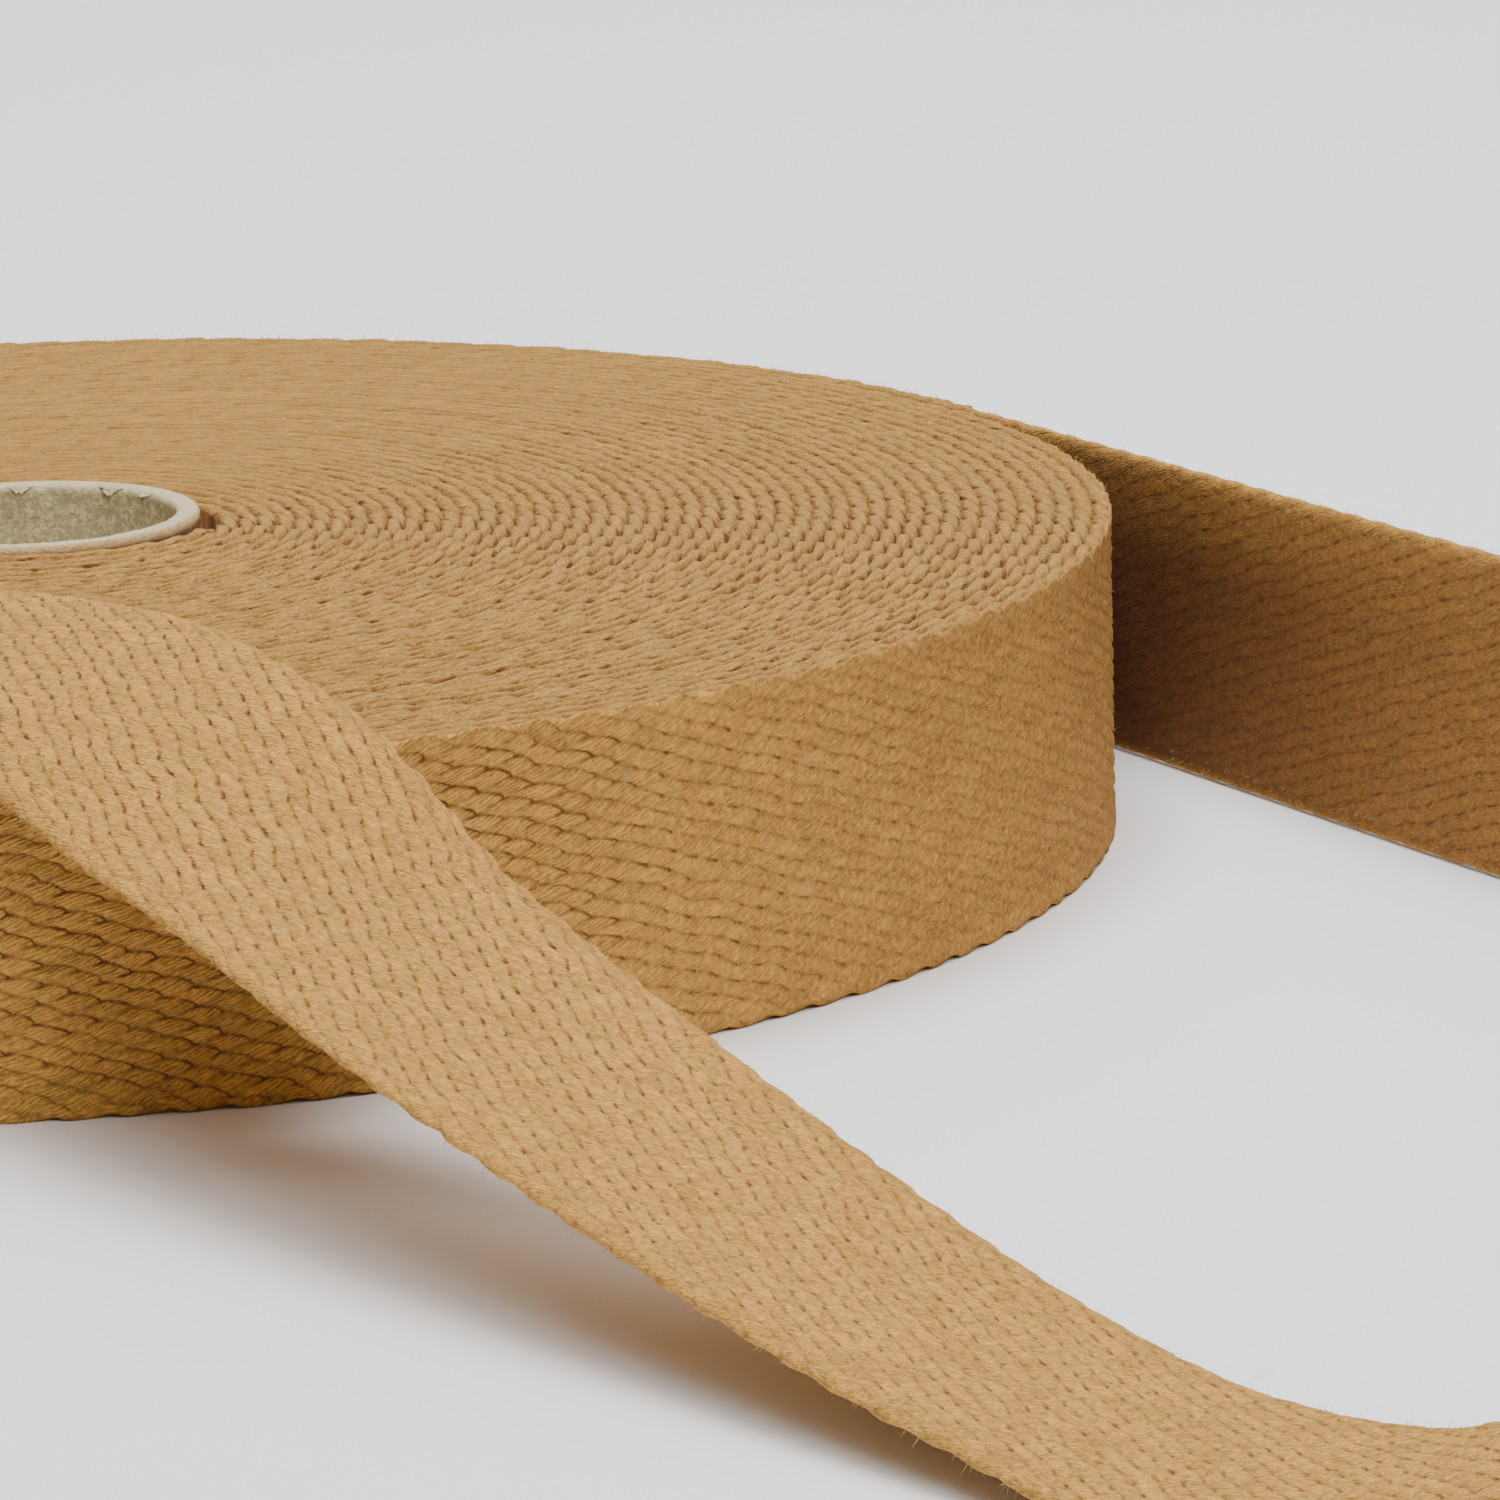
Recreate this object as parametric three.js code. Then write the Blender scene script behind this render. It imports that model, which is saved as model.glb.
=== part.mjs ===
// A roll of cotton webbing lying on its side: a cardboard core, the wound web, and the loose end of the same web.
// The loose end leaves the roll at the back on its edge, turns round, drops flat and climbs over the front rim.
// Millimetres, +Z up. Sizes below put the roll's axis at x = y = 0 on the floor; the finished group is centred.
import * as THREE from "three";

// The web
const WEB_WIDTH = 40;
const WEB_THICKNESS = 2.3;
const SELVEDGE_ROUNDING = 0.8;

// The core, a cardboard tube a little longer than the web is wide
const CORE_BORE = 38.1;
const CORE_WALL = 2.8;
const CORE_PROUD = 1.6;
const CORE_EDGE_ROUNDING = 0.5;

// The roll: its radius outside the last turn, and the place round it where that turn leaves, from +X
const ROLL_RADIUS = 138.5;
const LEAVES_AT = 29;
const RIM_ROUNDING = 1.1;
const PIECE_GAP = 0.3;

// The straight stretch of the loose end, before the bend, and how far all of it stands off the floor
const STRAIGHT_RUN = 150;
const LOOSE_LIFT = 0.1;

// The loose end after that: its middle line, and its lean, which is 90 on edge and 0 flat.
// A lean above 0 lifts the side that is the web's upper edge at the back.
const SECTIONS = [
  { x: 219.5, y: -118.5, z: 20, lean: 90 },
  { x: 244.5, y: -173, z: 20, lean: 90 },
  { x: 265.5, y: -229.5, z: 20, lean: 90 },
  { x: 274.5, y: -288.5, z: 20, lean: 90 },
  { x: 268, y: -317.5, z: 20, lean: 90 },
  { x: 251, y: -341.5, z: 20, lean: 89 },
  { x: 223.5, y: -352.5, z: 20.4, lean: 87 },
  { x: 195.5, y: -345.5, z: 20, lean: 72 },
  { x: 174.5, y: -327, z: 16.2, lean: 49 },
  { x: 157, y: -305.5, z: 9, lean: 23 },
  { x: 139, y: -283.5, z: 3.1, lean: 3 },
  { x: 120.5, y: -260, z: 3.2, lean: -6 },
  { x: 102, y: -237, z: 7.7, lean: -6 },
  { x: 66.5, y: -190.5, z: 21.5, lean: -1 },
  { x: 49.5, y: -167.5, z: 29.5, lean: 1 },
  { x: 32.5, y: -145, z: 39.4, lean: 12 },
  { x: 15.5, y: -121, z: 45.4, lean: 9 },
  { x: -1, y: -96, z: 44.8, lean: 7 },
  { x: -17, y: -71, z: 42.8, lean: 3 },
  { x: -33.5, y: -46, z: 41.8, lean: 0 },
  { x: -44.5, y: -29, z: 41.6, lean: 0 },
];

// How finely the solids are faceted
const ROLL_STEPS = 144;
const CORE_STEPS = 96;
const CORNER_STEPS = 3;
const WEB_STEP = 6;
const WEB_STRIPS = 4;

const CORE_RADIUS = CORE_BORE / 2 + CORE_WALL;
const UP = new THREE.Vector3(0, 0, 1);

// Points of a quarter circle round (x, y), from one angle to the next
function corner(x, y, radius, fromDegrees) {
  const points = [];
  for (let i = 0; i <= CORNER_STEPS; i++) {
    const angle = THREE.MathUtils.degToRad(fromDegrees + (90 * i) / CORNER_STEPS);
    points.push(new THREE.Vector2(x + radius * Math.cos(angle), y + radius * Math.sin(angle)));
  }
  return points;
}

// Joins rings of points, each a closed section, into one closed mesh. The ends are capped, or else joined.
function loft(rings, closed) {
  const count = rings[0].length;
  const positions = rings.flat().flatMap((p) => [p.x, p.y, p.z]);
  const faces = [];
  const spans = closed ? rings.length : rings.length - 1;
  for (let i = 0; i < spans; i++) {
    const here = i * count;
    const next = ((i + 1) % rings.length) * count;
    for (let j = 0; j < count; j++) {
      const k = (j + 1) % count;
      faces.push(here + j, next + j, next + k);
      faces.push(here + j, next + k, here + k);
    }
  }
  if (!closed) {
    const last = (rings.length - 1) * count;
    for (let j = 1; j < count - 1; j++) {
      faces.push(0, j, j + 1);
      faces.push(last, last + j + 1, last + j);
    }
  }
  const geometry = new THREE.BufferGeometry();
  geometry.setAttribute("position", new THREE.Float32BufferAttribute(positions, 3));
  geometry.setIndex(faces);
  geometry.computeVertexNormals();
  return geometry;
}

// The tube: bore, rounded edges and outer wall, turned round the axis
function coreGeometry() {
  const inner = CORE_BORE / 2;
  const top = WEB_WIDTH + CORE_PROUD;
  const r = CORE_EDGE_ROUNDING;
  const profile = [
    ...corner(inner + r, r, r, 180),
    ...corner(CORE_RADIUS - r, r, r, 270),
    ...corner(CORE_RADIUS - r, top - r, r, 0),
    ...corner(inner + r, top - r, r, 90),
  ];
  profile.push(profile[0].clone());
  const geometry = new THREE.LatheGeometry(profile, CORE_STEPS);
  geometry.rotateX(Math.PI / 2);
  return geometry;
}

// One section through the wound web, from the core out to the given radius
function rollSection(outer, angle) {
  const inner = CORE_RADIUS + PIECE_GAP;
  const r = RIM_ROUNDING;
  const section = [
    new THREE.Vector2(inner, 0),
    ...corner(outer - r, r, r, 270),
    ...corner(outer - r, WEB_WIDTH - r, r, 0),
    new THREE.Vector2(inner, WEB_WIDTH),
  ];
  return section.map((p) => new THREE.Vector3(p.x * Math.cos(angle), p.x * Math.sin(angle), p.y));
}

// The wound turns as one ring. Its radius falls by one turn round the roll, so that a step of the web's own
// thickness is left where the loose end goes on from it.
function woundRollGeometry() {
  const stepFoot = THREE.MathUtils.degToRad(LEAVES_AT);
  const stepSpan = THREE.MathUtils.degToRad(0.05);
  const turn = WEB_THICKNESS + PIECE_GAP;
  const rings = [];
  for (let i = 0; i <= ROLL_STEPS; i++) {
    const share = i / ROLL_STEPS;
    const angle = stepFoot + stepSpan + share * (2 * Math.PI - stepSpan);
    rings.push(rollSection(ROLL_RADIUS - turn * share, angle));
  }
  return loft(rings, true);
}

// The middle line of the loose end, starting in line with the roll's last turn
function looseEndLine() {
  const angle = THREE.MathUtils.degToRad(LEAVES_AT);
  const radius = ROLL_RADIUS - WEB_THICKNESS / 2;
  const height = WEB_WIDTH / 2 + LOOSE_LIFT;
  const touch = new THREE.Vector3(radius * Math.cos(angle), radius * Math.sin(angle), height);
  const heading = new THREE.Vector3(Math.sin(angle), -Math.cos(angle), 0);
  const straight = [PIECE_GAP, STRAIGHT_RUN / 3, (STRAIGHT_RUN * 2) / 3, STRAIGHT_RUN];
  const points = straight.map((run) => touch.clone().addScaledVector(heading, run));
  const leans = straight.map(() => 90);
  for (const section of SECTIONS) {
    points.push(new THREE.Vector3(section.x, section.y, section.z + LOOSE_LIFT));
    leans.push(section.lean);
  }
  const line = new THREE.CatmullRomCurve3(points, false, "centripetal");
  const leanCurve = new THREE.CatmullRomCurve3(leans.map((lean) => new THREE.Vector3(lean, 0, 0)));
  return { line, leanCurve };
}

// The web's own section: how far across it, and how far from its middle surface
function webSection() {
  const across = WEB_WIDTH / 2;
  const out = WEB_THICKNESS / 2;
  const r = SELVEDGE_ROUNDING;
  const half = [];
  half.push(new THREE.Vector2(across, -out + r));
  half.push(new THREE.Vector2(across, out - r));
  for (let i = 0; i <= WEB_STRIPS; i++) {
    half.push(new THREE.Vector2((across - r) * (1 - (2 * i) / WEB_STRIPS), out));
  }
  return [...half, ...half.map((p) => new THREE.Vector2(-p.x, -p.y))];
}

// The loose end: the web's section carried along its line, leaning as the table says
function looseEndGeometry() {
  const { line, leanCurve } = looseEndLine();
  const section = webSection();
  const steps = Math.round(line.getLength() / WEB_STEP);
  const rings = [];
  for (let i = 0; i <= steps; i++) {
    const t = line.getUtoTmapping(i / steps);
    const middle = line.getPoint(t);
    const along = line.getTangent(t);
    const lean = THREE.MathUtils.degToRad(leanCurve.getPoint(t).x);
    const across = new THREE.Vector3(along.y, -along.x, 0).normalize();
    across.multiplyScalar(Math.cos(lean)).addScaledVector(UP, Math.sin(lean));
    across.addScaledVector(along, -across.dot(along)).normalize();
    const out = new THREE.Vector3().crossVectors(across, along);
    rings.push(section.map((p) => middle.clone().addScaledVector(across, p.x).addScaledVector(out, p.y)));
  }
  return loft(rings, false);
}

function piece(name, geometry, look) {
  const mesh = new THREE.Mesh(geometry, new THREE.MeshStandardMaterial(look));
  mesh.name = name;
  return mesh;
}

const cottonLook = { color: 0xc49a66, roughness: 0.95, metalness: 0 };
const cardboardLook = { color: 0xc9b897, roughness: 0.9, metalness: 0 };

const pieces = new THREE.Group();
pieces.add(piece("core", coreGeometry(), cardboardLook));
pieces.add(piece("wound_roll", woundRollGeometry(), cottonLook));
pieces.add(piece("loose_end", looseEndGeometry(), cottonLook));

// The part's origin is under the middle of its box, on the floor
const box = new THREE.Box3().setFromObject(pieces, true);
const middle = box.getCenter(new THREE.Vector3());
pieces.position.set(-middle.x, -middle.y, -box.min.z);

const roll = new THREE.Group();
roll.add(pieces);

export default roll;
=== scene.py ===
"""A roll of cotton webbing on a cardboard core, its loose end turned round and laid over the top."""

import math
from collections import namedtuple

import bpy
import numpy as np
from mathutils import Matrix, Vector


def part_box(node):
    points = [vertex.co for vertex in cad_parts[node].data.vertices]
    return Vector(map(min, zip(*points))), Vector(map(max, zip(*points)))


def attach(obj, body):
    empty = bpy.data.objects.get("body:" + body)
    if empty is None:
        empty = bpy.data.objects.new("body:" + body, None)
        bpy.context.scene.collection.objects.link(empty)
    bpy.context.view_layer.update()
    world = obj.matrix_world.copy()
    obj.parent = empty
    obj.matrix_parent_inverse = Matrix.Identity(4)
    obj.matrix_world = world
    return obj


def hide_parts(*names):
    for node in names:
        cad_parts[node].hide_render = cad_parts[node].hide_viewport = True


MM = 0.001
SEED = 11
TAU = 2 * math.pi

# The web, in millimetres. Its warp floats lie in a brick pattern, one repeat this long and this wide.
WEB_WIDTH = 40.0
WEB_THICKNESS = 2.3
REPEAT_LONG = 6.7
REPEAT_WIDE = 2.25
FLOAT_RELIEF = 0.45

# The plies of a float: how far apart they are, and how steeply they cross it
PLY_PITCH = 0.5
PLY_SLOPE = 0.46

# How far a float's long seam bows, in repeats, where the web is crisp and where it is worn
FLOAT_ARCH = 0.16
WORN_ARCH = 0.03
CRISP_UP_TO = 0.02
WORN_FROM = 0.25

# The web's selvedges: how far they taper and draw in, and how far across that and their fuzz begin
SELVEDGE_TAPER = 2.4
SELVEDGE_SCALLOP = 0.6
SELVEDGE_FROM = 16.5
SELVEDGE_FUZZ_FROM = 17.5

# The loose end's scallops are slight up to the first of these places along it, and full from the second
SCALLOPS_GROW = (260, 400)
SLIGHT_SCALLOP = 0.08

# The edge of a wound turn is a row of knuckles: how the weave wraps over it, how far its top lies under the
# web's full width, where the last turn's face meets it, and how far it dips, rounds off and leans
EDGE_WRAP = 2.33
EDGE_PHASE = WEB_WIDTH / 2 / REPEAT_WIDE + 0.5
EDGE_LEVEL = 0.06
EDGE_CORNER = 19.2
EDGE_DENT = 0.75
EDGE_ROUNDING = 0.12
DENT_ROUNDING = 0.65
KNUCKLE_LEAN = 0.10

# The roll: outside radius where the last turn leaves it, how far that turn falls, and the number of turns
ROLL_RADIUS = 138.5
LEAVES_AT = math.radians(29)
LAST_TURN_FALL = 2.6
TURNS = 48.911
TURNS_SPLIT = 17.0
TURN_OVERLAP = 1.03

# The innermost turns: how they rise round the core and on which side most, and how many turns that takes
CORE_RISE = 0.40
CORE_RISE_TILT = 0.72
CORE_RISE_AT = math.radians(-115)
CORE_RISE_TURNS = 2.6

# They lie tight on the core, step up over the web's inner end in a part of a turn, and are less knuckled
TIGHT_TURNS = 2.2
STEP_UP_SHARE = (0.86, 0.98)
CALM_AT_CORE = 0.65
CALM_TURNS = 1.2

# The core
CORE_BORE = 38.1
CORE_WALL = 2.8
CORE_HEIGHT = 41.6
CORE_RADIUS = CORE_BORE / 2 + CORE_WALL
CORE_STEPS = 320

# The first turn: how far it stands off the core, and how deep and for what share of a turn its end is sunk
INNER_TURN_GAP = 0.3
INNER_END_SINK = 1.8
INNER_END_SHARE = 0.03

# Torn flaps on the core's inner lip: their place round it in degrees, their width and their drop
Flake = namedtuple("Flake", "at width drop")
LIP_FLAKES = [
    Flake(97, 3.6, 0.8),
    Flake(60, 3.8, 0.9),
    Flake(41, 2.6, 0.5),
    Flake(-48, 2.6, 0.3),
    Flake(-130, 3.0, 0.5),
    Flake(150, 3.4, 0.8),
    Flake(195, 2.6, 0.5),
]

# The loose end: a straight run on its edge, then its middle line and its lean, 90 on edge and 0 flat
STRAIGHT_RUN = 150.0
LOOSE_LIFT = 0.1
Section = namedtuple("Section", "x y z lean")
SECTIONS = [
    Section(219.5, -118.5, 20, 90),
    Section(244.5, -173, 20, 90),
    Section(265.5, -229.5, 20, 90),
    Section(274.5, -288.5, 20, 90),
    Section(268, -317.5, 20, 90),
    Section(251, -341.5, 20, 89),
    Section(223.5, -352.5, 20.4, 87),
    Section(195.5, -345.5, 20, 72),
    Section(174.5, -327, 16.2, 49),
    Section(157, -305.5, 9, 23),
    Section(139, -283.5, 3.1, 3),
    Section(120.5, -260, 3.2, -6),
    Section(102, -237, 7.7, -6),
    Section(66.5, -190.5, 21.5, -1),
    Section(49.5, -167.5, 29.5, 1),
    Section(32.5, -145, 39.4, 12),
    Section(15.5, -121, 45.4, 9),
    Section(-1, -96, 44.8, 7),
    Section(-17, -71, 42.8, 3),
    Section(-33.5, -46, 41.8, 0),
    Section(-44.5, -29, 41.6, 0),
]

# Wear, from 0 to 1: on the loose end all over, behind the roll and on the floor, with its places along
LOOSE_WEAR = 0.20
BEHIND_WEAR = 0.16
BEHIND_ENDS = (230, 420)
FLOOR_WEAR = 0.26
FLOOR_STARTS = (430, 520)
FLOOR_ENDS = (640, 760)

# Painted shade on the loose end's inner face, beside the roll: the painted light in its depth, what the
# opening adds, and what falls on its upper rim, with the places along and across where each grows or fades
POCKET_LIGHT = 0.01
OPENING_LIGHT = 0.44
OPENING_GROWS = (22, 140)
RIM_LIGHT = 0.42
RIM_PLACE = (5, 19)
RIM_FADES = (60, 140)
POCKET_ENDS = (150, 330)

# Wear of the roll: growing between two angles on its side, with a little painted shade there, and on its
# top's far side
SIDE_WEAR = 0.9
SIDE_WEAR_FROM = math.radians(-66)
SIDE_WEAR_TO = math.radians(-26)
SIDE_SHADE = 0.30
FAR_WEAR = 0.85
FAR_SIDE = (0.45, 0.95)

# How finely the webs are meshed along their length and across their faces and selvedges
LOOSE_STEP = 1.035
LAST_TURN_STEP = REPEAT_LONG / 8
TURN_STEP = REPEAT_LONG / 5
FACE_STEP = REPEAT_WIDE / 4
BACK_STEP = REPEAT_WIDE / 2
SELVEDGE_STEPS = 8
TURN_TOP_POINTS = 6
TURN_BOTTOM_POINTS = 4
LAST_TURN_EDGE_POINTS = 7

# The camera, measured from the roll's axis on the floor
CAMERA_X = 90.13
CAMERA_Y = -943.35
CAMERA_Z = 223.62
CAMERA_PITCH = 0.224
CAMERA_ROLL = 0.026
FOCAL_PIXELS = 7655.0
FRAME_PIXELS = 1500.0
SENSOR = 36.0


# Meshes

def new_mesh_object(name, vertices, faces, attributes=None, smooth=True):
    """A mesh object from points in millimetres, with one float attribute for each named array of values."""
    mesh = bpy.data.meshes.new(name)
    faces = np.asarray(faces, np.int32)
    mesh.vertices.add(len(vertices))
    mesh.vertices.foreach_set("co", (np.asarray(vertices, float) * MM).astype(np.float32).ravel())
    corners = faces.shape[1]
    mesh.loops.add(faces.size)
    mesh.loops.foreach_set("vertex_index", faces.ravel())
    mesh.polygons.add(len(faces))
    mesh.polygons.foreach_set("loop_start", np.arange(0, faces.size, corners, dtype=np.int32))
    mesh.polygons.foreach_set("use_smooth", np.full(len(faces), smooth))
    for key, values in (attributes or {}).items():
        layer = mesh.attributes.new(key, "FLOAT", "POINT")
        layer.data.foreach_set("value", np.asarray(values, np.float32).ravel())
    mesh.update(calc_edges=True)
    mesh.validate()
    piece = bpy.data.objects.new(name, mesh)
    bpy.context.scene.collection.objects.link(piece)
    return piece


def grid_quads(rows, columns):
    """Quads that join the rows of a grid of points, each row a loop."""
    row = np.arange(rows - 1)[:, None] * columns
    here = np.arange(columns)[None, :]
    after = (here + 1) % columns
    quads = np.stack([row + here, row + after, row + columns + after, row + columns + here], -1)
    return quads.reshape(-1, 4)


def close_rows(rows, columns):
    """Quads that join the last row of such a grid to its first."""
    here = np.arange(columns)
    after = (here + 1) % columns
    last = (rows - 1) * columns
    return np.stack([last + here, last + after, after, here], -1)


def end_cap(start, count, is_last):
    """Quads that fill a row of an even number of points, folded across its middle."""
    quads = []
    for i in range(count // 2 - 1):
        a, b = start + i, start + i + 1
        c, d = start + count - 2 - i, start + count - 1 - i
        quads.append((a, b, c, d) if is_last else (d, c, b, a))
    return quads


def capped_quads(rows, columns, turned):
    """Quads of such a grid with its first and last row filled. Turned, they face the other way."""
    caps = end_cap(0, columns, False) + end_cap((rows - 1) * columns, columns, True)
    quads = np.vstack([grid_quads(rows, columns), np.array(caps)])
    return quads[:, [0, 3, 2, 1]] if turned else quads


def spread(shape, **attributes):
    """The attributes with a value for each point of a grid."""
    return {name: np.broadcast_to(values, shape) for name, values in attributes.items()}


def even_loop(points):
    """The loop's points as an array, with one more between the first two if their number was odd."""
    if len(points) % 2:
        points.insert(1, tuple((a + b) / 2 for a, b in zip(points[0], points[1])))
    return np.array(points)


# The weave

def triangle_wave(x):
    """Distance from the nearest whole number."""
    return np.abs(x - np.round(x))


def smooth_step(x, low, high):
    share = np.clip((x - low) / (high - low), 0, 1)
    return share * share * (3 - 2 * share)


def uneven(number):
    """A number from 0 to 1 that jumps about from one whole number to the next."""
    return 0.5 + 0.5 * np.sin(number * 12.9898 + 4.1)


class Drift:
    """A smooth random field over the web, made of slanted waves between two lengths."""

    def __init__(self, rng, count, shortest, longest, size):
        length = np.exp(rng.uniform(math.log(shortest), math.log(longest), count))
        heading = rng.uniform(0, math.pi, count)
        self.by_along = TAU * np.cos(heading) / length
        self.by_across = TAU * np.sin(heading) / length
        self.phase = rng.uniform(0, TAU, count)
        self.size = size * math.sqrt(2 / count)

    def at(self, along, across):
        waves = zip(self.by_along, self.by_across, self.phase)
        return self.size * sum(np.sin(a * along + b * across + phase) for a, b, phase in waves)


def weave_place(along, across):
    """Where a place on the web falls in its weave, which beats a little unevenly."""
    return along + along_drift.at(along, across), across + across_drift.at(along, across)


def arch(tips, worn):
    """How far the long seam bows over a float, steepest at its blunt tip and least where the web is worn."""
    share = (tips - np.floor(tips)) ** 0.6
    size = FLOAT_ARCH + (WORN_ARCH - FLOAT_ARCH) * smooth_step(worn, CRISP_UP_TO, WORN_FROM)
    return size * 4 * share * (1 - share)


def float_relief(along, across, worn):
    """Height of the warp floats over the seams between them, from 0 to 1, for a place in the weave."""
    u = along / REPEAT_LONG + across / REPEAT_WIDE
    v = along / REPEAT_LONG - across / REPEAT_WIDE
    v = v + arch(u + v, worn)
    ends = 1 - 0.8 * (2 * triangle_wave(u)) ** 3
    sides = 1 - (2 * triangle_wave(v)) ** 2.2
    high = 0.85 + 0.15 * uneven(np.round(u) + 3 * np.round(v))
    return ends * sides * high


def scallop(along, phase):
    """How far a selvedge draws in between the turns of its weft, from 0 to 1."""
    wave = 0.5 - 0.5 * np.cos(TAU * (along / REPEAT_LONG + phase))
    slow = 0.5 + 0.5 * np.sin(along / 23.0 + 5 * phase) * np.sin(along / 9.1 + phase)
    return wave ** 1.5 * (0.55 + 0.45 * slow)


# The loose end

def catmull_rom(points, t):
    """A centripetal Catmull-Rom curve through the points, at each t from 0 to 1."""
    points = np.asarray(points, float)
    last = len(points) - 1
    padded = np.vstack([2 * points[0] - points[1], points, 2 * points[-1] - points[-2]])
    place = np.clip(t, 0, 1) * last
    index = np.minimum(place.astype(int), last - 1)
    w = (place - index)[:, None]
    p = [padded[index + k] for k in range(4)]
    gap = [np.sqrt(np.linalg.norm(p[k + 1] - p[k], axis=1))[:, None] for k in range(3)]
    gap[1] = np.where(gap[1] < 1e-4, 1.0, gap[1])
    gap[0] = np.where(gap[0] < 1e-4, gap[1], gap[0])
    gap[2] = np.where(gap[2] < 1e-4, gap[1], gap[2])
    out = (p[1] - p[0]) / gap[0] - (p[2] - p[0]) / (gap[0] + gap[1]) + (p[2] - p[1]) / gap[1]
    into = (p[2] - p[1]) / gap[1] - (p[3] - p[1]) / (gap[1] + gap[2]) + (p[3] - p[2]) / gap[2]
    m1 = out * gap[1]
    m2 = into * gap[1]
    c2 = 3 * (p[2] - p[1]) - 2 * m1 - m2
    c3 = 2 * (p[1] - p[2]) + m1 + m2
    return p[1] + w * (m1 + w * (c2 + w * c3))


def loose_end_frames(step):
    """Stations along the loose end: its length there, middle point, and across and outward vectors."""
    radius = ROLL_RADIUS - WEB_THICKNESS / 2
    height = WEB_WIDTH / 2 + LOOSE_LIFT
    touch = np.array([radius * math.cos(LEAVES_AT), radius * math.sin(LEAVES_AT), height])
    heading = np.array([math.sin(LEAVES_AT), -math.cos(LEAVES_AT), 0])
    runs = (0.0, STRAIGHT_RUN / 3, STRAIGHT_RUN * 2 / 3, STRAIGHT_RUN)
    points = [touch + run * heading for run in runs]
    leans = [90.0] * len(runs)
    for section in SECTIONS:
        points.append(np.array([section.x, section.y, section.z + LOOSE_LIFT]))
        leans.append(section.lean)
    fine = np.linspace(0, 1, 6001)
    line = catmull_rom(points, fine)
    run = np.concatenate([[0], np.cumsum(np.linalg.norm(np.diff(line, axis=0), axis=1))])
    along = np.linspace(0, run[-1], round(run[-1] / step) + 1)
    t = np.interp(along, run, fine)
    middle = catmull_rom(points, t)
    nudge = 1e-4
    direction = catmull_rom(points, t + nudge) - catmull_rom(points, t - nudge)
    direction /= np.linalg.norm(direction, axis=1)[:, None]
    lean = np.radians(catmull_rom(np.array(leans)[:, None], t))
    level = np.stack([direction[:, 1], -direction[:, 0], np.zeros(len(t))], -1)
    level /= np.linalg.norm(level, axis=1)[:, None]
    across = level * np.cos(lean) + np.array([0, 0, 1]) * np.sin(lean)
    across -= direction * np.sum(across * direction, axis=1)[:, None]
    across /= np.linalg.norm(across, axis=1)[:, None]
    outward = np.cross(across, direction)
    return along, middle, across, outward


def edge_arc(angle):
    """Length round a tapered selvedge, from the nearer face to a place on it."""
    fine = np.linspace(0, math.pi / 2, 60)
    speed = np.hypot(SELVEDGE_TAPER * np.cos(fine), WEB_THICKNESS / 2 * np.sin(fine))
    length = np.concatenate([[0], np.cumsum((speed[1:] + speed[:-1]) / 2 * np.diff(fine))])
    return float(np.interp(min(angle, math.pi - angle), fine, length))


# A point of the loose web's section: how far across and off the middle, the way out there in the same terms,
# the length round the section to it, and the face it is on, from 1 in front to -1 behind
SectionPoint = namedtuple("SectionPoint", "place height out_place out_height arc face")


def selvedge_points(side, angles):
    """The section's points round one tapered selvedge, from the front face or from the back."""
    flat = WEB_WIDTH / 2 - SELVEDGE_TAPER
    points = []
    for angle in angles:
        way = np.array([WEB_THICKNESS / 2 * math.sin(angle), SELVEDGE_TAPER * math.cos(angle)])
        way /= np.linalg.norm(way)
        points.append(SectionPoint(
            place=side * (flat + SELVEDGE_TAPER * math.sin(angle)),
            height=WEB_THICKNESS / 2 * math.cos(angle),
            out_place=side * way[0],
            out_height=way[1],
            arc=side * (flat + edge_arc(angle)),
            face=math.cos(angle),
        ))
    return points


def web_section():
    """The loose web's section as a loop of section points."""
    flat = WEB_WIDTH / 2 - SELVEDGE_TAPER
    thick = WEB_THICKNESS / 2
    front = np.linspace(flat, -flat, round(2 * flat / FACE_STEP) + 1)
    back = np.linspace(-flat, flat, round(2 * flat / BACK_STEP) + 1)
    turn = np.linspace(0, math.pi, SELVEDGE_STEPS + 1)[1:-1]
    points = [SectionPoint(a, thick, 0.0, 1.0, a, 1.0) for a in front]
    points += selvedge_points(-1, turn)
    points += [SectionPoint(a, -thick, 0.0, -1.0, a, -1.0) for a in back]
    points += selvedge_points(1, turn[::-1])
    return even_loop(points)


def loose_wear(along):
    """How worn and fuzzy the loose end looks along its length, from 0 to 1."""
    behind = 1 - smooth_step(along, *BEHIND_ENDS)
    on_floor = smooth_step(along, *FLOOR_STARTS) * (1 - smooth_step(along, *FLOOR_ENDS))
    return LOOSE_WEAR + BEHIND_WEAR * behind + FLOOR_WEAR * on_floor


def pocket_shade(along, across, face):
    """How bright the loose end's inner face is painted: in painted shade where it leaves the roll."""
    from_roll = POCKET_LIGHT + OPENING_LIGHT * smooth_step(along, *OPENING_GROWS)
    upper_rim = RIM_LIGHT * smooth_step(across, *RIM_PLACE) * (1 - 0.8 * smooth_step(along, *RIM_FADES))
    opening = from_roll + upper_rim
    opening = opening + (1 - opening) * smooth_step(along, *POCKET_ENDS)
    inner_face = smooth_step(-face, 0.2, 0.95)
    return 1 - (1 - opening) * inner_face


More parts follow.
